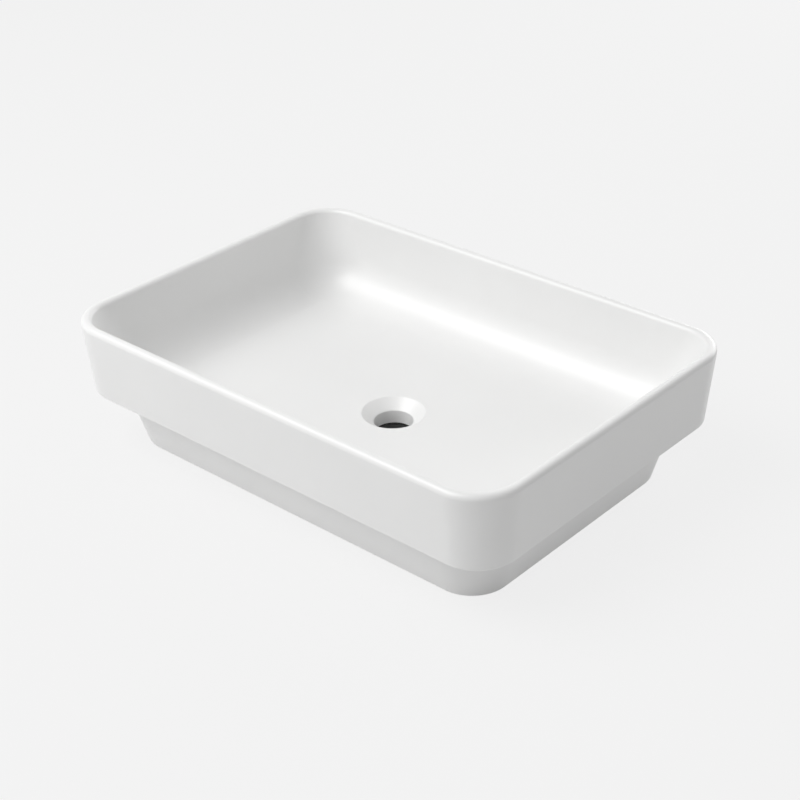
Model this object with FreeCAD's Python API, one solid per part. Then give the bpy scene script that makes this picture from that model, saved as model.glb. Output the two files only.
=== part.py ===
import FreeCAD, Part
import math
import os

# Semi recessed wash basin: a rectangular glazed ceramic basin whose rim part stands on a worktop,
# while its smaller tapered foot drops through a cut-out.  One ceramic casting, a foam seal under
# its ledge and a rubber washer under its waste hole.  Millimetres, +Z up, +X along the length.
# The origin is the centre of the foot's base, which is the face that the basin stands on.

# Outside of the casting
basin_length = 600.0
basin_width = 420.0
basin_height = 157.0
rim_thickness = 12.0
rim_corner_radius = 54.0
wall_draft = 5.3            # degrees, outer wall of the rim part
foot_height = 69.0          # from the base to the ledge
ledge_width = 20.0          # overhang of the rim part beyond the foot
foot_draft = 15.6           # degrees
foot_corner_radius = 42.0   # at the base
foot_wall = 12.0
ledge_edge_round = 2.0
foot_root_round = 2.5
base_outer_round = 5.0
base_inner_round = 2.5
foot_inner_round = 4.0      # where the foot's inside meets the bowl's underside

# Bowl, with depths measured down from the rim
bowl_depth = 104.5
bowl_draft = 5.0            # degrees, inner walls
floor_fall = 9.5            # from the foot of the walls to the waste
floor_corner_radius = 84.0  # in plan, where the walls meet the floor
cove_radius = 48.0          # round between walls and floor
floor_thickness = 12.0
waste_flat_length = 92.0    # level patch round the waste
waste_flat_width = 82.0
waste_flat_corner = 40.0

# Waste hole
waste_hole_radius = 22.0
waste_boss_height = 26.5    # from the floor at the waste down to the boss's face
boss_radius = 37.0
funnel_radius = 35.5
funnel_depth = 11.0
funnel_lip_round = 3.0
funnel_throat_round = 1.2
boss_edge_round = 1.5
boss_root_round = 3.0

# Seals
seal_thickness = 3.0
seal_width = 6.0
seal_edge_inset = 6.0       # from the ledge's edge, so that the seal stays out of sight
washer_thickness = 2.5
washer_bore_clearance = 0.3
washer_edge_inset = 3.0     # from the boss's edge

# Values that follow
rim_round = rim_thickness / 2 - 0.1
rim_lean = math.tan(math.radians(wall_draft))
rim_swell = rim_round * (1 / math.cos(math.radians(wall_draft)) - 1 + rim_lean)
bowl_lean = math.tan(math.radians(bowl_draft))
foot_lean = math.tan(math.radians(foot_draft))
foot_wall_across = foot_wall / math.cos(math.radians(foot_draft))
floor_z = basin_height - bowl_depth
boss_z = floor_z - waste_boss_height
overrun = 3.0               # how far cutting shapes run past a face


def inset(outline, amount):
    """An outline (half length, half width, corner radius) moved in all round by an amount."""
    return tuple(size - amount for size in outline)


# Outlines: the sharp corner that the rim's round is cut from, then the ledge and the foot
rim_outline = (basin_length / 2 + rim_swell, basin_width / 2 + rim_swell,
               rim_corner_radius + rim_swell)
bowl_mouth = inset(rim_outline, rim_thickness)
ledge_outline = inset(rim_outline, (basin_height - foot_height) * rim_lean)
foot_half_length = ledge_outline[0] - ledge_width - foot_height * foot_lean
foot_half_width = ledge_outline[1] - ledge_width - foot_height * foot_lean
base_outline = (foot_half_length, foot_half_width, foot_corner_radius)


def wire(outline, z):
    """Closed wire of a rounded rectangle, the same eight edges in the same order each time."""
    x, y, r = outline
    k = r * (1 - math.sqrt(0.5))

    def point(px, py):
        return FreeCAD.Vector(px, py, z)

    def corner(start, middle, end):
        return Part.Arc(point(*start), point(*middle), point(*end)).toShape()

    return Part.Wire([
        Part.makeLine(point(-x + r, -y), point(x - r, -y)),
        corner((x - r, -y), (x - k, -y + k), (x, -y + r)),
        Part.makeLine(point(x, -y + r), point(x, y - r)),
        corner((x, y - r), (x - k, y - k), (x - r, y)),
        Part.makeLine(point(x - r, y), point(-x + r, y)),
        corner((-x + r, y), (-x + k, y - k), (-x, y - r)),
        Part.makeLine(point(-x, y - r), point(-x, -y + r)),
        corner((-x, -y + r), (-x + k, -y + k), (-x + r, -y)),
    ])


def middle_of(edge):
    """Point halfway along an edge."""
    return edge.valueAt((edge.FirstParameter + edge.LastParameter) / 2)


def is_on(point, outline):
    """True where a point, seen from above, lies on an outline."""
    x, y, r = outline
    beyond_x = max(abs(point.x) - (x - r), 0)
    beyond_y = max(abs(point.y) - (y - r), 0)
    return abs(math.hypot(beyond_x, beyond_y) - r) < 0.05


def edges_on(shape, outline, z):
    """Edges of the shape that lie on this outline at this height."""
    found = []
    for edge in shape.Edges:
        box = edge.BoundBox
        level = abs(box.ZMin - z) < 0.01 and abs(box.ZMax - z) < 0.01
        if level and is_on(middle_of(edge), outline):
            found.append(edge)
    return found


def circle_edges(shape, radius, z):
    """Circular edges about the Z axis with this radius at this height."""
    found = []
    for edge in shape.Edges:
        curve = edge.Curve
        if not isinstance(curve, Part.Circle):
            continue
        if abs(curve.Radius - radius) < 0.01 and abs(curve.Center.z - z) < 0.01:
            found.append(edge)
    return found


def foot_outline(z):
    """The foot's outer face at a height: it widens upwards from the base."""
    return inset(base_outline, -z * foot_lean)


def foot_inside(z):
    """The foot's inner face at a height."""
    return inset(foot_outline(z), foot_wall_across)


def outer_block():
    """The basin's outside, with no hollows: the rim part on the tapered foot."""
    foot_top = foot_outline(foot_height)
    rim_part = Part.makeLoft(
        [wire(ledge_outline, foot_height), wire(rim_outline, basin_height)], True, True)
    foot = Part.makeLoft([wire(base_outline, 0), wire(foot_top, foot_height)], True, True)
    block = rim_part.fuse(foot).removeSplitter()
    block = block.makeFillet(foot_root_round, edges_on(block, foot_top, foot_height))
    block = block.makeFillet(ledge_edge_round, edges_on(block, ledge_outline, foot_height))
    return block.makeFillet(base_outer_round, edges_on(block, base_outline, 0))


def bowl_outline(depth):
    """Level section of the bowl's leaning walls: the corners widen towards the floor."""
    x, y, r = inset(bowl_mouth, depth * bowl_lean)
    widening = (floor_corner_radius - bowl_mouth[2]) / (bowl_depth - floor_fall)
    return x, y, bowl_mouth[2] + depth * widening


def bowl(thickness):
    """The bowl's inside as a solid; with a thickness, the solid as far as its shell's outside."""
    side = thickness / math.cos(math.radians(bowl_draft))
    mouth = inset(bowl_outline(-overrun), -side)
    foot_of_walls = inset(bowl_outline(bowl_depth - floor_fall + thickness), -side)
    flat = (waste_flat_length / 2, waste_flat_width / 2, waste_flat_corner)
    flat_z = floor_z - thickness
    walls = Part.makeLoft([wire(mouth, basin_height + overrun),
                           wire(foot_of_walls, flat_z + floor_fall)], True, True)
    floor = Part.makeLoft([wire(foot_of_walls, flat_z + floor_fall),
                           wire(flat, flat_z)], True, True)
    space = walls.fuse(floor).removeSplitter()
    cove_edges = edges_on(space, foot_of_walls, flat_z + floor_fall)
    return space.makeFillet(cove_radius + thickness, cove_edges)


def foot_inside_top(shape):
    """Edges along which the bowl's underside closes the foot's inner face."""
    found = []
    for edge in shape.Edges:
        middle = middle_of(edge)
        runs_round = edge.BoundBox.ZLength < foot_height / 2
        if runs_round and middle.z > 0 and is_on(middle, foot_inside(middle.z)):
            found.append(edge)
    return found


def underside_hollow():
    """The open space inside the foot, below the bowl's floor and round the waste boss."""
    top = foot_height - foot_root_round
    space = Part.makeLoft(
        [wire(foot_inside(-overrun), -overrun), wire(foot_inside(top), top)], True, True)
    space = space.cut(bowl(floor_thickness))
    space = space.makeFillet(foot_inner_round, foot_inside_top(space))
    boss = Part.makeCylinder(boss_radius, waste_boss_height, FreeCAD.Vector(0, 0, boss_z))
    space = space.cut(boss)
    space = space.makeFillet(boss_edge_round, circle_edges(space, boss_radius, boss_z))
    return space.makeFillet(
        boss_root_round, circle_edges(space, boss_radius, floor_z - floor_thickness))


def waste_cut():
    """The funnel and the straight hole through the floor."""
    funnel = Part.makeCone(waste_hole_radius, funnel_radius, funnel_depth,
                           FreeCAD.Vector(0, 0, floor_z - funnel_depth))
    hole = Part.makeCylinder(waste_hole_radius, waste_boss_height + 2 * overrun,
                             FreeCAD.Vector(0, 0, boss_z - overrun))
    return funnel.fuse(hole)


def ceramic_body():
    body = outer_block().cut(bowl(0))
    rim_edges = edges_on(body, rim_outline, basin_height)
    rim_edges += edges_on(body, bowl_mouth, basin_height)
    body = body.makeFillet(rim_round, rim_edges)
    body = body.cut(underside_hollow())
    body = body.makeFillet(base_inner_round, edges_on(body, foot_inside(0), 0))
    body = body.cut(waste_cut())
    body = body.makeFillet(funnel_lip_round, circle_edges(body, funnel_radius, floor_z))
    throat = circle_edges(body, waste_hole_radius, floor_z - funnel_depth)
    return body.makeFillet(funnel_throat_round, throat)


def ledge_seal():
    """Foam strip, one closed loop, stuck to the underside of the ledge."""
    bottom = foot_height - seal_thickness
    outer_edge = inset(ledge_outline, seal_edge_inset)
    inner_edge = inset(outer_edge, seal_width)
    rise = FreeCAD.Vector(0, 0, seal_thickness)
    outer = Part.Face(wire(outer_edge, bottom)).extrude(rise)
    return outer.cut(Part.Face(wire(inner_edge, bottom)).extrude(rise))


def waste_washer():
    """Flat rubber ring on the waste boss's lower face."""
    low = FreeCAD.Vector(0, 0, boss_z - washer_thickness)
    disc = Part.makeCylinder(boss_radius - washer_edge_inset, washer_thickness, low)
    bore = Part.makeCylinder(waste_hole_radius + washer_bore_clearance, washer_thickness, low)
    return disc.cut(bore)


os.makedirs("parts", exist_ok=True)
pieces = {
    "ceramic_body": ceramic_body(),
    "ledge_seal": ledge_seal(),
    "waste_washer": waste_washer(),
}
for name, shape in pieces.items():
    shape.exportStep("parts/" + name + ".step")
    print(name, "solids", len(shape.Solids), "valid", shape.isValid(),
          "litres", round(shape.Volume / 1e6, 3), "box", shape.BoundBox)
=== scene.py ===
import math

import bmesh
import bpy
import numpy as np
from mathutils import Matrix, Vector


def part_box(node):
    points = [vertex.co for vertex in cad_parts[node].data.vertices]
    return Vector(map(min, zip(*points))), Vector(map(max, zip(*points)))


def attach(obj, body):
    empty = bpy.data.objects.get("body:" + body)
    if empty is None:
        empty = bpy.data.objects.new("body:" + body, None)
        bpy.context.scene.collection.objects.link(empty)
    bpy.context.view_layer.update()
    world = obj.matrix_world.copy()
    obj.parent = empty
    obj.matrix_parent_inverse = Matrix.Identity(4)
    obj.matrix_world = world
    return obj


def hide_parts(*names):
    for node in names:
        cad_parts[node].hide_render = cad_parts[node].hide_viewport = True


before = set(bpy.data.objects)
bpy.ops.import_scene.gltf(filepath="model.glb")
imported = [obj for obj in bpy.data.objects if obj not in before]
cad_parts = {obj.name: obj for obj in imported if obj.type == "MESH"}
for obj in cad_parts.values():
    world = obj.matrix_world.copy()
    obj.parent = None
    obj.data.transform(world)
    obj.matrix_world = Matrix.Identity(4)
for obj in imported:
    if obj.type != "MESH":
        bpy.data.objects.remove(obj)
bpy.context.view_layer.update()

MM = 0.001

# The casting's sizes in millimetres, and its drafts, the same as in the CAD source
HALF_LENGTH = 300.0
HALF_WIDTH = 210.0
RIM_CORNER = 54.0
RIM_Z = 157.0
LEDGE_Z = 69.0
FLOOR_Z = 52.5
WALL_FOOT_Z = 62.0
BOSS_Z = 26.0
RIM_THICKNESS = 12.0
RIM_ROUND = 5.9
WALL_DRAFT = math.radians(5.3)
FOOT_DRAFT = math.radians(15.6)
BOWL_DRAFT = math.radians(5.0)
FOOT_WALL = 12.0
LEDGE_WIDTH = 20.0
LEDGE_EDGE_ROUND = 2.0
FOOT_ROOT_ROUND = 2.5
BASE_OUTER_ROUND = 5.0
BASE_INNER_ROUND = 2.5
FOOT_INNER_ROUND = 4.0
FOOT_CORNER = 42.0
FLOOR_CORNER = 84.0
COVE_ROUND = 48.0
FLOOR_THICKNESS = 12.0
WASTE_FLAT = (46.0, 41.0, 40.0)    # half length, half width and corner radius
HOLE_RADIUS = 22.0
BOSS_RADIUS = 37.0
BOSS_EDGE_ROUND = 1.5
BOSS_ROOT_ROUND = 3.0
FUNNEL_RADIUS = 35.5
FUNNEL_DEPTH = 11.0
FUNNEL_LIP_ROUND = 3.0
FUNNEL_THROAT_ROUND = 1.2
SEAL_WIDTH = 6.0
SEAL_EDGE_INSET = 6.0
SEAL_EDGE_ROUND = 0.7
WASHER_BORE_CLEARANCE = 0.3
WASHER_EDGE_ROUND = 0.4

# Mesh density: numbers of steps, unless said otherwise
CORNER_STEPS = 24       # round each corner of the casting
END_STEPS = 7           # along half of the straight run of an end
SIDE_STEPS = 10         # along half of the straight run of a long side
RIM_STEPS = 14          # across each half of the rim
COVE_STEPS = 24         # down the cove
EDGE_STEPS = 6          # round a small edge
LIP_STEPS = 7           # round the ledge's edge and the funnel's lip
BASE_EDGE_STEPS = 8     # round an edge of the foot's base
INNER_ROUND_RINGS = 10  # rings across the round inside the foot
STRIP_CORNER_POINTS = 24
STRIP_EDGE_POINTS = 4
BESIDE_A_ROUND = 1.2    # millimetres from a round to the ring that keeps the flat beside it flat

# Level rings between the rounds, as heights in millimetres
FOOT_RINGS = (20.0, 36.0, 52.0)
WALL_RINGS = (88.0, 108.0, 128.0)
BOWL_RINGS = (142.0, 130.0, 118.0)
FOOT_INSIDE_RINGS = (40.0, 30.0, 14.0)

# Rings between the rounds, as shares of the way down the funnel or along the floor
FUNNEL_SHARES = (0.15, 0.5, 0.85)
FLOOR_SHARES = (0.04, 0.15, 0.3, 0.5, 0.7, 0.85, 0.95, 1.0)
UNDERSIDE_SHARES = (1.0, 0.95, 0.8, 0.6, 0.4, 0.2, 0.06)

# Working out and cleaning the meshes
FLOOR_PLANES = 3001     # directions in which the sloping floor is worked out
SETTLING_TURNS = 6      # after which the cove's centre no longer moves
WELD = 2e-6             # metres within which two points of the casting become one
STRIP_WELD = 1e-6       # the same for the strips
CASTING_SHARP = math.radians(40)    # edges that turn by more than this stay sharp
STRIP_SHARP = math.radians(50)


# ---- Outlines: rounded rectangles, as half length, half width and corner radius ----

def inset(outline, amount):
    """An outline moved in all round by an amount."""
    return tuple(size - amount for size in outline)


def grown(outline, growth, height):
    """An outline whose three sizes grow with height, each at its own rate."""
    return tuple(size + rate * height for size, rate in zip(outline, growth))


def reach(outline, angle):
    """How far an outline reaches in the direction of this angle."""
    x, y, r = outline
    return (x - r) * np.cos(angle) + (y - r) * np.sin(angle) + r


def quarter_places():
    """Places round a quarter of an outline, from the middle of an end to the middle of a side:
    their direction, and how far along the end's and the side's straight run they lie."""
    end = np.arange(END_STEPS) / END_STEPS
    corner = np.linspace(0, math.pi / 2, CORNER_STEPS + 1)
    side = 1 - np.arange(1, SIDE_STEPS + 1) / SIDE_STEPS
    angle = np.concatenate([0 * end, corner, 0 * side + math.pi / 2])
    along_side = np.concatenate([0 * end + 1, 0 * corner + 1, side])
    along_end = np.concatenate([end, 0 * corner + 1, 0 * side + 1])
    return angle, along_side, along_end


DIRECTIONS, ALONG_SIDE, ALONG_END = quarter_places()
OUTWARDS = np.stack([np.cos(DIRECTIONS), np.sin(DIRECTIONS)])


def plan(outline):
    """The points of an outline at these places."""
    x, y, r = outline
    return r * OUTWARDS + np.stack([(x - r) * ALONG_SIDE, (y - r) * ALONG_END])


# The outer wall, drawn up to the rim, ends this much wider than the finished rim
RIM_SWELL = RIM_ROUND * (1 / math.cos(WALL_DRAFT) - 1 + math.tan(WALL_DRAFT))
RIM = inset((HALF_LENGTH, HALF_WIDTH, RIM_CORNER), -RIM_SWELL)
LEDGE = inset(RIM, (RIM_Z - LEDGE_Z) * math.tan(WALL_DRAFT))
MOUTH = inset(RIM, RIM_THICKNESS)
BASE = inset(LEDGE, LEDGE_WIDTH + LEDGE_Z * math.tan(FOOT_DRAFT))[:2] + (FOOT_CORNER,)
WALL_GROWTH = (math.tan(BOWL_DRAFT), math.tan(BOWL_DRAFT),
               (MOUTH[2] - FLOOR_CORNER) / (RIM_Z - WALL_FOOT_Z))


# ---- The casting's faces, as their outline at a height ----

def outer_wall(z):
    """The outside of the rim part."""
    return inset(RIM, (RIM_Z - z) * math.tan(WALL_DRAFT))


def foot_side(z):
    """The outside of the foot, which widens upwards."""
    return inset(BASE, -z * math.tan(FOOT_DRAFT))


def foot_inside(z):
    """The inside of the foot."""
    return inset(foot_side(z), FOOT_WALL / math.cos(FOOT_DRAFT))


def bowl_wall(z, thickness=0.0):
    """The bowl's leaning walls, or with a thickness, the outside of the shell behind them."""
    return inset(grown(MOUTH, WALL_GROWTH, z - RIM_Z), -thickness / math.cos(BOWL_DRAFT))


def floor_growth(thickness):
    """How the sloping floor's outline grows with height, above the level patch round the waste."""
    edge = bowl_wall(WALL_FOOT_Z - thickness, thickness)
    rise = WALL_FOOT_Z - FLOOR_Z
    return tuple((wide - narrow) / rise for wide, narrow in zip(edge, WASTE_FLAT))


class Cove:
    """The round between the bowl's walls and floor: the path of a ball that rolls along both.
    With a thickness, the round of the shell's outside."""

    def __init__(self, thickness):
        self.radius = COVE_ROUND + thickness
        self.level_z = FLOOR_Z - thickness
        self.turns = np.linspace(0, math.pi / 2, FLOOR_PLANES)[:, None]
        self.rates = reach(floor_growth(thickness), self.turns)
        lean = reach(WALL_GROWTH, DIRECTIONS)
        self.to_wall = np.vstack([OUTWARDS, -lean]) / np.hypot(1, lean)
        lift = self.radius * np.hypot(1, self.rates) / self.rates
        z = WALL_FOOT_Z + COVE_ROUND
        for _ in range(SETTLING_TURNS):
            wall_z = z + self.radius * self.to_wall[2]
            x, y = plan(bowl_wall(wall_z, thickness)) - self.radius * self.to_wall[:2]
            resting = self.floor_planes(x, y) + lift
            z = resting.max(0)
        self.centre = np.stack([x, y, z])
        below = resting.argmax(0)
        turn, rate = self.turns[below, 0], self.rates[below, 0]
        self.to_floor = np.stack([np.cos(turn), np.sin(turn), -rate]) / np.hypot(1, rate)

    def floor_planes(self, x, y):
        """Height of the floor's plane for each direction; the floor is the highest of them."""
        out = x * np.cos(self.turns) + y * np.sin(self.turns) - reach(WASTE_FLAT, self.turns)
        return self.level_z + out / self.rates

    def ring(self, share):
        """Points on the round, from the wall at share 0 to the floor at share 1."""
        spread = np.arccos((self.to_wall * self.to_floor).sum(0))
        way = np.sin((1 - share) * spread) * self.to_wall + np.sin(share * spread) * self.to_floor
        return self.centre + self.radius * way / np.sin(spread)

    def floor_ring(self, share):
        """Points on the floor, from the round at share 0 to the level patch at share 1."""
        start = self.ring(1.0)[:2]
        x, y = start + (plan(WASTE_FLAT) - start) * share
        return np.stack([x, y, self.floor_planes(x, y).max(0)])


def inner_round(cove):
    """Rings of the round between the shell's underside and the foot's inside, and the shares of
    the cove at which it starts."""
    sideways = np.stack([-OUTWARDS[1], OUTWARDS[0]])
    cove_out = (cove.centre[:2] * OUTWARDS).sum(0)
    cove_z = cove.centre[2]
    # Its centre lies its own radius inside the foot's face, and clear of the cove by as much
    lean = math.tan(FOOT_DRAFT)
    start = reach(foot_inside(0.0), DIRECTIONS) - FOOT_INNER_ROUND / math.cos(FOOT_DRAFT) - cove_out
    a, b = 1 + lean ** 2, start * lean - cove_z
    c = start ** 2 + cove_z ** 2 - (cove.radius + FOOT_INNER_ROUND) ** 2
    z = (-b - np.sqrt(b ** 2 - a * c)) / a
    out = cove_out + start + lean * z
    first_turn = np.arctan2(cove_z - z, cove_out - out)
    wall_turn = np.arcsin(cove.to_wall[2])
    floor_turn = np.arctan2(cove.to_floor[2], (cove.to_floor[:2] * OUTWARDS).sum(0))
    cove_share = (first_turn - math.pi - wall_turn) / (floor_turn - wall_turn)
    cove_side = (cove.ring(cove_share)[:2] * sideways).sum(0)
    foot_aside = (plan(foot_inside(0.0)) * sideways).sum(0)
    rings = []
    for share in np.linspace(0, 1, INNER_ROUND_RINGS):
        turn = first_turn + (-FOOT_DRAFT - first_turn) * share
        across = out + FOOT_INNER_ROUND * np.cos(turn)
        aside = cove_side + (foot_aside - cove_side) * share
        rings.append(np.vstack([across * OUTWARDS + aside * sideways,
                                z + FOOT_INNER_ROUND * np.sin(turn)]))
    return rings, cove_share


def arc(start, end, steps):
    """Angles along a round, in radians, from degrees."""
    return np.radians(np.linspace(start, end, steps + 1))


def circle(radius):
    """A round outline."""
    return radius, radius, radius


def casting_rings():
    """Rings round a quarter of the casting: from the base up the outside, over the rim, down the
    bowl, through the waste hole, and back along the underside."""
    rings = []

    def level(z, outline):
        """A ring that lies level."""
        points = plan(outline)
        rings.append(np.vstack([points, np.full(points.shape[1], z)]))

    def rounded(centre_z, outline, radius, angles):
        """Rings round an edge, whose round is centred on this outline at this height."""
        for turn in angles:
            level(centre_z + radius * math.sin(turn), inset(outline, -radius * math.cos(turn)))

    foot_tilt = math.degrees(FOOT_DRAFT)
    wall_tilt = math.degrees(WALL_DRAFT)

    # Base, foot, ledge and outer wall
    rounded(BASE_OUTER_ROUND,
            inset(foot_side(BASE_OUTER_ROUND), BASE_OUTER_ROUND / math.cos(FOOT_DRAFT)),
            BASE_OUTER_ROUND, arc(270, 360 - foot_tilt, BASE_EDGE_STEPS))
    foot_top_z = LEDGE_Z - FOOT_ROOT_ROUND
    for z in (BASE_OUTER_ROUND + 0.2, *FOOT_RINGS, foot_top_z - 0.4):
        level(z, foot_side(z))
    foot_root = inset(foot_side(foot_top_z), -FOOT_ROOT_ROUND / math.cos(FOOT_DRAFT))
    rounded(foot_top_z, foot_root, FOOT_ROOT_ROUND, arc(180 - foot_tilt, 90, EDGE_STEPS))
    level(LEDGE_Z, inset(foot_root, -BESIDE_A_ROUND))
    edge_z = LEDGE_Z + LEDGE_EDGE_ROUND
    ledge_edge = inset(outer_wall(edge_z), LEDGE_EDGE_ROUND / math.cos(WALL_DRAFT))
    level(LEDGE_Z, inset(ledge_edge, BESIDE_A_ROUND))
    rounded(edge_z, ledge_edge, LEDGE_EDGE_ROUND, arc(270, 360 - wall_tilt, LIP_STEPS))
    rim_low = RIM_Z - RIM_ROUND
    for z in (edge_z + 1.0, *WALL_RINGS, rim_low - 1.7):
        level(z, outer_wall(z))

    # Rim
    rounded(rim_low, inset(outer_wall(rim_low), RIM_ROUND / math.cos(WALL_DRAFT)),
            RIM_ROUND, arc(-wall_tilt, 90, RIM_STEPS))
    lean = np.arctan(reach(WALL_GROWTH, DIRECTIONS))
    for share in np.linspace(0, 1, RIM_STEPS + 1):
        turn = math.pi / 2 + (math.pi / 2 - lean) * share
        z = rim_low + RIM_ROUND * np.sin(turn)
        out = reach(bowl_wall(rim_low), DIRECTIONS) + RIM_ROUND / np.cos(lean)
        out = out + RIM_ROUND * np.cos(turn) - reach(bowl_wall(z), DIRECTIONS)
        rings.append(np.vstack([plan(inset(bowl_wall(z), -out)), z]))

    # Bowl
    for z in (rim_low - 0.9, *BOWL_RINGS):
        level(z, bowl_wall(z))
    cove = Cove(0.0)
    rings.extend(cove.ring(share) for share in np.linspace(0, 1, COVE_STEPS + 1))
    rings.extend(cove.floor_ring(share) for share in FLOOR_SHARES)

    # Funnel and hole
    fall = math.atan2(FUNNEL_DEPTH, FUNNEL_RADIUS - HOLE_RADIUS)
    fall_degrees = math.degrees(fall)
    lip = circle(FUNNEL_RADIUS + FUNNEL_LIP_ROUND * math.tan(fall / 2))
    level(FLOOR_Z, inset(lip, -BESIDE_A_ROUND))
    rounded(FLOOR_Z - FUNNEL_LIP_ROUND, lip, FUNNEL_LIP_ROUND,
            arc(90, 90 + fall_degrees, LIP_STEPS))
    for share in FUNNEL_SHARES:
        level(FLOOR_Z - FUNNEL_DEPTH * share,
              circle(FUNNEL_RADIUS + (HOLE_RADIUS - FUNNEL_RADIUS) * share))
    throat_z = FLOOR_Z - FUNNEL_DEPTH - FUNNEL_THROAT_ROUND * math.tan(math.pi / 4 - fall / 2)
    rounded(throat_z, circle(HOLE_RADIUS + FUNNEL_THROAT_ROUND), FUNNEL_THROAT_ROUND,
            arc(90 + fall_degrees, 180, EDGE_STEPS))
    for z in (throat_z - 1.0, BOSS_Z):
        level(z, circle(HOLE_RADIUS))

    # Waste boss and underside of the floor
    boss_edge = circle(BOSS_RADIUS - BOSS_EDGE_ROUND)
    level(BOSS_Z, inset(boss_edge, BESIDE_A_ROUND))
    rounded(BOSS_Z + BOSS_EDGE_ROUND, boss_edge, BOSS_EDGE_ROUND, arc(270, 360, EDGE_STEPS))
    rounded(FLOOR_Z - FLOOR_THICKNESS - BOSS_ROOT_ROUND, circle(BOSS_RADIUS + BOSS_ROOT_ROUND),
            BOSS_ROOT_ROUND, arc(180, 90, EDGE_STEPS))
    cove = Cove(FLOOR_THICKNESS)
    round_rings, round_share = inner_round(cove)
    rings.extend(cove.floor_ring(share) for share in UNDERSIDE_SHARES)
    rings.extend(cove.ring(share) for share in np.linspace(1, round_share, EDGE_STEPS + 1)[:-1])
    rings.extend(round_rings)

    # Inside of the foot
    for z in (*FOOT_INSIDE_RINGS, BASE_INNER_ROUND + 2.0):
        level(z, foot_inside(z))
    rounded(BASE_INNER_ROUND,
            inset(foot_inside(BASE_INNER_ROUND), -BASE_INNER_ROUND / math.cos(FOOT_DRAFT)),
            BASE_INNER_ROUND, arc(180 - foot_tilt, 270, BASE_EDGE_STEPS))
    return rings


def whole_ring(quarter):
    """A quarter's points mirrored into a whole ring, anticlockwise."""
    there, back = quarter.T, quarter.T[::-1]
    return np.concatenate([there, back[1:] * (-1, 1, 1), there[1:] * (-1, -1, 1),
                           back[1:-1] * (1, -1, 1)])


def casting_mesh():
    """The whole casting as one closed, smooth mesh."""
    points = [whole_ring(ring) for ring in casting_rings()]
    count, stations = len(points), len(points[0])
    index = np.arange(count * stations).reshape(count, stations)
    above, beside = np.roll(index, -1, 0), np.roll(index, -1, 1)
    faces = np.stack([index, beside, np.roll(above, -1, 1), above], 2).reshape(-1, 4)
    mesh = bpy.data.meshes.new("basin_casting")
    mesh.from_pydata((np.concatenate(points) * MM).tolist(), [], faces.tolist())
    work = bmesh.new()
    work.from_mesh(mesh)
    bmesh.ops.remove_doubles(work, verts=work.verts, dist=WELD)
    bmesh.ops.dissolve_degenerate(work, edges=work.edges, dist=WELD)
    work.to_mesh(mesh)
    work.free()
    mesh.validate()
    mesh.shade_smooth()
    mesh.set_sharp_from_angle(angle=CASTING_SHARP)
    return mesh


# ---- Node trees ----

def linked(tree, kind, settings=None, **inputs):
    """Adds a node, with its settings, and links or sets its inputs: by name, or by number (in0,
    in1) where names repeat."""
    node = tree.nodes.new(kind)
    for key, value in (settings or {}).items():
        setattr(node, key, value)
    for key, value in inputs.items():
        name = key.replace("_", " ")
        socket = node.inputs[int(name[2:])] if name.startswith("in") else node.inputs[name]
        if isinstance(value, bpy.types.NodeSocket):
            tree.links.new(value, socket)
        else:
            socket.default_value = value
    return node


# ---- Geometry Nodes: a strip with rounded edges laid round a path ----

def strip_tree():
    """A flat strip that follows a rounded rectangle. A corner radius of half the length gives a
    round washer."""
    tree = bpy.data.node_groups.new("strip_round_a_path", "GeometryNodeTree")
    sizes = ("Path Length", "Path Width", "Corner Radius", "Strip Width", "Strip Thickness",
             "Edge Round", "Height")
    for name in sizes:
        tree.interface.new_socket(name=name, in_out="INPUT", socket_type="NodeSocketFloat")
    tree.interface.new_socket(name="Finish", in_out="INPUT", socket_type="NodeSocketMaterial")
    tree.interface.new_socket(name="Geometry", in_out="OUTPUT", socket_type="NodeSocketGeometry")
    given = tree.nodes.new("NodeGroupInput").outputs

    def rounded_rectangle(width, height, radius, corner_points):
        """A rounded rectangle as a curve."""
        sharp = linked(tree, "GeometryNodeCurvePrimitiveQuadrilateral", Width=width, Height=height)
        return linked(tree, "GeometryNodeFilletCurve", {"mode": "POLY"},
                      Curve=sharp.outputs["Curve"], Count=corner_points, Radius=radius,
                      Limit_Radius=True).outputs["Curve"]

    path = rounded_rectangle(given["Path Length"], given["Path Width"], given["Corner Radius"],
                             STRIP_CORNER_POINTS)
    path = linked(tree, "GeometryNodeSetCurveNormal", {"mode": "Z_UP"}, Curve=path)
    section = rounded_rectangle(given["Strip Width"], given["Strip Thickness"],
                                given["Edge Round"], STRIP_EDGE_POINTS)
    swept = linked(tree, "GeometryNodeCurveToMesh", Curve=path.outputs["Curve"],
                   Profile_Curve=section)
    lift = linked(tree, "ShaderNodeCombineXYZ", Z=given["Height"])
    lifted = linked(tree, "GeometryNodeTransform", Geometry=swept.outputs["Mesh"],
                    Translation=lift.outputs["Vector"])
    merged = linked(tree, "GeometryNodeMergeByDistance", Geometry=lifted.outputs["Geometry"],
                    Distance=STRIP_WELD)
    real = linked(tree, "GeometryNodeRealizeInstances", Geometry=merged.outputs["Geometry"])
    finished = linked(tree, "GeometryNodeSetMaterial", Geometry=real.outputs["Geometry"],
                      Material=given["Finish"])
    linked(tree, "NodeGroupOutput", Geometry=finished.outputs["Geometry"])
    return tree


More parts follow.
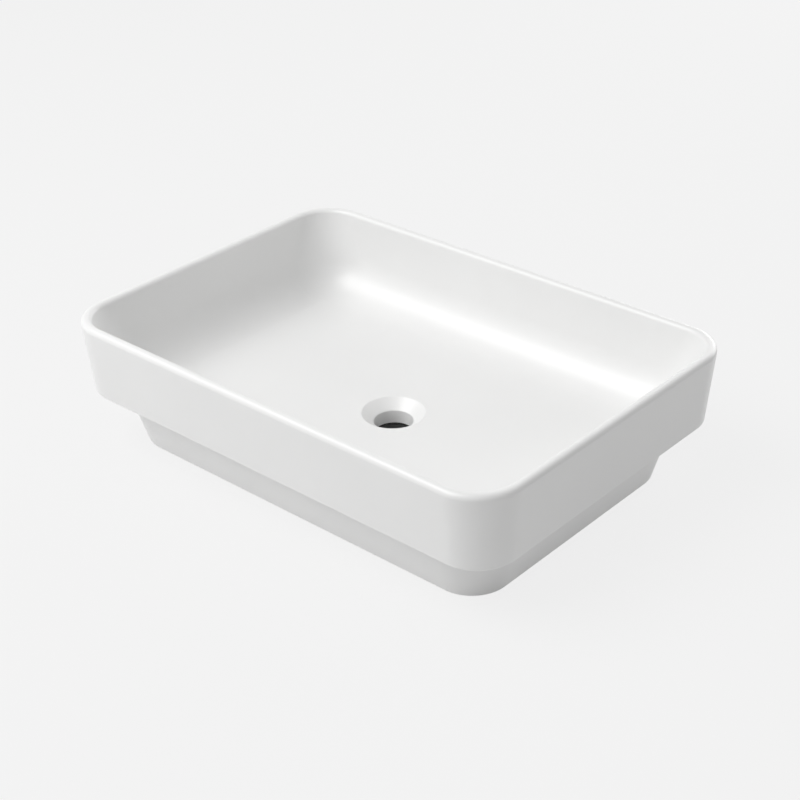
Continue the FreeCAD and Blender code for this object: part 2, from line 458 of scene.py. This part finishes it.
def build_strip(name, tree, finish, **sizes):
    """Runs the tree once and keeps its result as a plain mesh. Sizes are in metres."""
    maker = bpy.data.objects.new(name + "_maker", bpy.data.meshes.new(name + "_maker"))
    bpy.context.scene.collection.objects.link(maker)
    modifier = maker.modifiers.new("strip", "NODES")
    modifier.node_group = tree
    for socket in tree.interface.items_tree:
        if socket.in_out != "INPUT":
            continue
        key = socket.name.lower().replace(" ", "_")
        modifier[socket.identifier] = finish if key == "finish" else sizes[key]
    shown = bpy.context.evaluated_depsgraph_get()
    shown.update()
    mesh = bpy.data.meshes.new_from_object(maker.evaluated_get(shown))
    maker.modifiers.remove(modifier)
    bpy.data.objects.remove(maker)
    mesh.name = name
    mesh.shade_smooth()
    mesh.set_sharp_from_angle(angle=STRIP_SHARP)
    return add_piece(name, mesh)


def add_piece(name, mesh):
    """Puts a mesh into the scene, at the origin."""
    piece = bpy.data.objects.new(name, mesh)
    bpy.context.scene.collection.objects.link(piece)
    return piece


# ---- Finishes ----

# Pairs of colours between which the slow waves of each surface move
GLAZE = (0.845, 0.845, 0.84, 1), (0.875, 0.875, 0.87, 1)
FIRED_BODY = (0.72, 0.68, 0.60, 1), (0.80, 0.77, 0.70, 1)
FOAM = (0.33, 0.33, 0.325, 1), (0.42, 0.42, 0.41, 1)
# Painted shade inside the foam's open cells
FOAM_PORE_SHADE = (0.16, 0.16, 0.16, 1)
RUBBER = (0.018, 0.018, 0.018, 1), (0.04, 0.04, 0.039, 1)
DUST = (0.14, 0.14, 0.135, 1)
SPECK_SHARE = 0.93      # cells with a random number above this hold a speck
BARE_EDGE = 0.00025     # metres over which the glaze's edge thins out


def shader_group(name, inputs, outputs):
    """A shader node group of plain values: its inputs with their defaults, and its outputs."""
    group = bpy.data.node_groups.new(name, "ShaderNodeTree")
    for key, value in inputs.items():
        socket = group.interface.new_socket(name=key, in_out="INPUT",
                                            socket_type="NodeSocketFloat")
        socket.default_value = value
    for key in outputs:
        group.interface.new_socket(name=key, in_out="OUTPUT", socket_type="NodeSocketFloat")
    return group, group.nodes.new("NodeGroupInput"), group.nodes.new("NodeGroupOutput")


def math_node(tree, operation, first, second):
    """One step of arithmetic on two values."""
    node = linked(tree, "ShaderNodeMath", {"operation": operation}, in0=first, in1=second)
    return node.outputs["Value"]


def grain_group():
    """Slow waves and fine grain, as a tone from 0 to 1 and a height."""
    group, given, out = shader_group(
        "surface_grain",
        {"Wave Scale": 12.0, "Wave Height": 1.0, "Grain Scale": 400.0, "Grain Height": 0.2},
        ("Tone", "Height"))
    place = group.nodes.new("ShaderNodeTexCoord").outputs["Object"]
    waves = linked(group, "ShaderNodeTexNoise", Vector=place, Scale=given.outputs["Wave Scale"],
                   Detail=1.5, Roughness=0.4)
    grain = linked(group, "ShaderNodeTexNoise", Vector=place, Scale=given.outputs["Grain Scale"],
                   Detail=2.0, Roughness=0.55)
    wave_part = math_node(group, "MULTIPLY", waves.outputs["Fac"], given.outputs["Wave Height"])
    grain_part = math_node(group, "MULTIPLY", grain.outputs["Fac"], given.outputs["Grain Height"])
    group.links.new(math_node(group, "ADD", wave_part, grain_part), out.inputs["Height"])
    group.links.new(waves.outputs["Fac"], out.inputs["Tone"])
    return group


def bare_group():
    """Mask of the places with no glaze: everything below a height, with an uneven edge."""
    group, given, out = shader_group(
        "bare_below", {"Level": 0.0008, "Unevenness": 0.0006}, ("Mask",))
    place = group.nodes.new("ShaderNodeTexCoord").outputs["Object"]
    height = linked(group, "ShaderNodeSeparateXYZ", Vector=place).outputs["Z"]
    edge = linked(group, "ShaderNodeTexNoise", Vector=place, Scale=70.0, Detail=3.0)
    shift = math_node(group, "MULTIPLY", math_node(group, "SUBTRACT", edge.outputs["Fac"], 0.5),
                      given.outputs["Unevenness"])
    level = math_node(group, "ADD", given.outputs["Level"], shift)
    mask = linked(group, "ShaderNodeMapRange", Value=height, From_Min=level,
                  From_Max=math_node(group, "ADD", level, BARE_EDGE), To_Min=1.0, To_Max=0.0)
    group.links.new(mask.outputs["Result"], out.inputs["Mask"])
    return group


def speck_group():
    """Sparse small specks, as a mask."""
    group, given, out = shader_group("specks", {"Scale": 90.0, "Size": 0.08}, ("Mask",))
    place = group.nodes.new("ShaderNodeTexCoord").outputs["Object"]
    cells = linked(group, "ShaderNodeTexVoronoi", Vector=place, Scale=given.outputs["Scale"])
    chosen = linked(group, "ShaderNodeSeparateColor", Color=cells.outputs["Color"])
    kept = math_node(group, "GREATER_THAN", chosen.outputs["Red"], SPECK_SHARE)
    inside = math_node(group, "LESS_THAN", cells.outputs["Distance"], given.outputs["Size"])
    group.links.new(math_node(group, "MULTIPLY", kept, inside), out.inputs["Mask"])
    return group


def mixed(tree, mask, first, second):
    """The first colour where the mask is 0, the second where it is 1."""
    node = linked(tree, "ShaderNodeMix", {"data_type": "RGBA"}, in0=mask, in6=first, in7=second)
    return node.outputs[2]


def mixed_value(tree, mask, first, second):
    """The first value where the mask is 0, the second where it is 1."""
    return linked(tree, "ShaderNodeMapRange", Value=mask, To_Min=first,
                  To_Max=second).outputs["Result"]


def new_material(name):
    """A material, its node tree and its shader."""
    material = bpy.data.materials.new(name)
    material.use_nodes = True
    tree = material.node_tree
    return material, tree, tree.nodes["Principled BSDF"]


def placed(tree, group, **inputs):
    """Puts a group into a material and gives its outputs."""
    return linked(tree, "ShaderNodeGroup", {"node_tree": group}, **inputs).outputs


def bumped(tree, shader, height, distance):
    """Dents the surface by this height, times a distance in metres."""
    bump = linked(tree, "ShaderNodeBump", Height=height, Distance=distance)
    tree.links.new(bump.outputs["Normal"], shader.inputs["Normal"])


def glaze_material(grain, bare):
    """White glaze over a fired body, which is bare on the ring that stood in the kiln."""
    material, tree, shader = new_material("white_glaze")
    surface = placed(tree, grain, Wave_Scale=9.0, Wave_Height=1.0, Grain_Scale=260.0,
                     Grain_Height=0.012)
    no_glaze = placed(tree, bare, Level=0.0009, Unevenness=0.0012)["Mask"]
    tone = mixed(tree, surface["Tone"], *GLAZE)
    body = placed(tree, grain, Wave_Scale=55.0, Wave_Height=0.3, Grain_Scale=1500.0,
                  Grain_Height=1.0)
    fired = mixed(tree, body["Tone"], *FIRED_BODY)
    tree.links.new(mixed(tree, no_glaze, tone, fired), shader.inputs["Base Color"])
    tree.links.new(mixed_value(tree, no_glaze, 0.42, 0.9), shader.inputs["Roughness"])
    tree.links.new(mixed_value(tree, no_glaze, 0.8, 0.0), shader.inputs["Coat Weight"])
    shader.inputs["Coat Roughness"].default_value = 0.33
    shader.inputs["Coat IOR"].default_value = 1.5
    shader.inputs["Specular IOR Level"].default_value = 0.2
    grainy = math_node(tree, "MULTIPLY", body["Height"], no_glaze)
    height = math_node(tree, "ADD", surface["Height"], math_node(tree, "MULTIPLY", grainy, 0.1))
    bumped(tree, shader, height, 0.0012)
    return material


def foam_material(grain, specks):
    """Soft grey foam, with painted shade in the tiny cells that are open at its cut face, which are
    also dented.
    """
    material, tree, shader = new_material("closed_cell_foam")
    surface = placed(tree, grain, Wave_Scale=40.0, Wave_Height=0.4, Grain_Scale=1800.0,
                     Grain_Height=1.0)
    cells = placed(tree, specks, Scale=900.0, Size=0.4)["Mask"]
    tone = mixed(tree, surface["Tone"], *FOAM)
    # The open cells get a dark colour as painted shade, on top of their dents
    tone = mixed(tree, cells, tone, FOAM_PORE_SHADE)
    tree.links.new(tone, shader.inputs["Base Color"])
    tree.links.new(mixed_value(tree, surface["Tone"], 0.85, 0.95), shader.inputs["Roughness"])
    dents = math_node(tree, "SUBTRACT", surface["Height"], math_node(tree, "MULTIPLY", cells, 0.8))
    bumped(tree, shader, dents, 0.0003)
    return material


def rubber_material(grain, specks):
    """Black moulded rubber with a dusty bloom."""
    material, tree, shader = new_material("black_rubber")
    surface = placed(tree, grain, Wave_Scale=70.0, Wave_Height=0.5, Grain_Scale=2200.0,
                     Grain_Height=0.6)
    dust = placed(tree, specks, Scale=700.0, Size=0.3)["Mask"]
    tone = mixed(tree, surface["Tone"], *RUBBER)
    tone = mixed(tree, math_node(tree, "MULTIPLY", dust, 0.5), tone, DUST)
    tree.links.new(tone, shader.inputs["Base Color"])
    tree.links.new(mixed_value(tree, surface["Tone"], 0.5, 0.72), shader.inputs["Roughness"])
    bumped(tree, shader, surface["Height"], 0.0002)
    return material


# ---- Studio ----

BACKGROUND = (0.91, 0.91, 0.91, 1)
FLOOR_COLOUR = (0.80, 0.80, 0.80, 1)
FLOOR_HALF = 8.0             # metres
FLOOR_EVENNESS = 0.9         # at 1, the basin's shadow wouldn't show
DARK_FLOOR_RADIUS = 0.14     # metres from the middle, inside the foot's base
WORLD_STRENGTH = 0.35
LAMPS = {                    # place, size and power
    "key": ((-1.05, -1.48, 2.37), (2.4, 1.9), 65.0),
    "back": ((0.0, 2.46, 1.82), (2.4, 1.2), 8.2),
    "low_back": ((0.0, 2.93, 0.72), (2.4, 1.0), 23.6),
}
LAMP_AIM = (0.0, 0.0, 0.1)
FRAME_PIXELS = 800
FOCAL_PIXELS = 1663.0


def seen_rays(tree):
    """1 for the rays that show the background: those of the camera, of reflections and of glass."""
    path = tree.nodes.new("ShaderNodeLightPath").outputs
    rays = math_node(tree, "MAXIMUM", path["Is Camera Ray"], path["Is Glossy Ray"])
    return math_node(tree, "MAXIMUM", rays, path["Is Transmission Ray"])


def floor_material():
    """Pale floor that takes the basin's shadow, evened out where the camera sees it beside the
    basin, and left dark inside the foot, where it shows through the waste hole."""
    material, tree, shader = new_material("pale_floor")
    shader.inputs["Base Color"].default_value = FLOOR_COLOUR
    shader.inputs["Roughness"].default_value = 0.9
    shader.inputs["Specular IOR Level"].default_value = 0.0
    even = linked(tree, "ShaderNodeEmission", Color=BACKGROUND)
    from_middle = linked(tree, "ShaderNodeVectorMath", {"operation": "LENGTH"},
                         in0=tree.nodes.new("ShaderNodeTexCoord").outputs["Object"])
    outside = math_node(tree, "GREATER_THAN", from_middle.outputs["Value"], DARK_FLOOR_RADIUS)
    share = math_node(tree, "MULTIPLY", seen_rays(tree), outside)
    share = math_node(tree, "MULTIPLY", share, FLOOR_EVENNESS)
    mix = linked(tree, "ShaderNodeMixShader", in0=share, in1=shader.outputs["BSDF"],
                 in2=even.outputs["Emission"])
    tree.links.new(mix.outputs["Shader"], tree.nodes["Material Output"].inputs["Surface"])
    return material


def area_lamp(name, place, size, power):
    """A soft rectangular lamp, aimed at the basin."""
    data = bpy.data.lights.new(name, "AREA")
    data.shape = "RECTANGLE"
    data.size, data.size_y = size
    data.energy = power
    lamp = bpy.data.objects.new(name, data)
    bpy.context.scene.collection.objects.link(lamp)
    lamp.location = place
    lamp.rotation_mode = "QUATERNION"
    lamp.rotation_quaternion = (Vector(place) - Vector(LAMP_AIM)).to_track_quat("Z", "Y")


def studio():
    """The floor, the world that shows as an even backdrop, and the lamps."""
    floor = add_piece("floor", bpy.data.meshes.new("floor"))
    corners = [(x * FLOOR_HALF, y * FLOOR_HALF, 0) for x, y in ((-1, -1), (1, -1), (1, 1), (-1, 1))]
    floor.data.from_pydata(corners, [], [(0, 1, 2, 3)])
    floor.data.materials.append(floor_material())
    world = bpy.data.worlds.new("studio")
    world.use_nodes = True
    tree = world.node_tree
    light = tree.nodes["Background"]
    light.inputs["Color"].default_value = (1.0, 1.0, 1.0, 1)
    light.inputs["Strength"].default_value = WORLD_STRENGTH
    backdrop = linked(tree, "ShaderNodeBackground", Color=BACKGROUND)
    mix = linked(tree, "ShaderNodeMixShader", in0=seen_rays(tree),
                 in1=light.outputs["Background"], in2=backdrop.outputs["Background"])
    tree.links.new(mix.outputs["Shader"], tree.nodes["World Output"].inputs["Surface"])
    bpy.context.scene.world = world
    for name, lamp in LAMPS.items():
        area_lamp(name, *lamp)


def photo_camera():
    """The camera from which the photograph was taken: it looks down from the right of the front."""
    azimuth, elevation, roll = math.radians(42.204), math.radians(29.841), math.radians(-1.427)
    distance, across, upward = 1.86378, 0.00613, 0.05866
    back = Vector((math.sin(azimuth) * math.cos(elevation),
                   -math.cos(azimuth) * math.cos(elevation), math.sin(elevation)))
    right = Vector((math.cos(azimuth), math.sin(azimuth), 0))
    up = back.cross(right)
    turned_right = right * math.cos(roll) + up * math.sin(roll)
    turned_up = up * math.cos(roll) - right * math.sin(roll)
    data = bpy.data.cameras.new("photo_camera")
    data.sensor_width = 36.0
    data.lens = FOCAL_PIXELS / FRAME_PIXELS * data.sensor_width
    camera = bpy.data.objects.new("photo_camera", data)
    bpy.context.scene.collection.objects.link(camera)
    axes = Matrix((turned_right, turned_up, back)).transposed()
    camera.rotation_mode = "QUATERNION"
    camera.rotation_quaternion = axes.to_quaternion()
    camera.location = back * distance + turned_right * across + turned_up * upward
    bpy.context.scene.camera = camera


def main():
    """The three pieces, then the studio and the camera."""
    grain, bare, specks = grain_group(), bare_group(), speck_group()

    casting = add_piece("basin_casting", casting_mesh())
    casting.data.materials.append(glaze_material(grain, bare))
    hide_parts("ceramic_body")
    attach(casting, "root")

    tree = strip_tree()
    middle = inset(LEDGE, SEAL_EDGE_INSET + SEAL_WIDTH / 2)
    low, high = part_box("ledge_seal")
    seal = build_strip("foam_seal_strip", tree, foam_material(grain, specks),
                       path_length=2 * middle[0] * MM, path_width=2 * middle[1] * MM,
                       corner_radius=middle[2] * MM, strip_width=SEAL_WIDTH * MM,
                       strip_thickness=high.z - low.z, edge_round=SEAL_EDGE_ROUND * MM,
                       height=(low.z + high.z) / 2)
    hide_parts("ledge_seal")
    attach(seal, "root")

    low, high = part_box("waste_washer")
    bore = (HOLE_RADIUS + WASHER_BORE_CLEARANCE) * MM
    washer = build_strip("rubber_washer", tree, rubber_material(grain, specks),
                         path_length=high.x + bore, path_width=high.x + bore,
                         corner_radius=(high.x + bore) / 2, strip_width=high.x - bore,
                         strip_thickness=high.z - low.z, edge_round=WASHER_EDGE_ROUND * MM,
                         height=(low.z + high.z) / 2)
    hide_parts("waste_washer")
    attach(washer, "root")

    studio()
    photo_camera()
    bpy.context.scene.view_settings.view_transform = "Standard"


main()
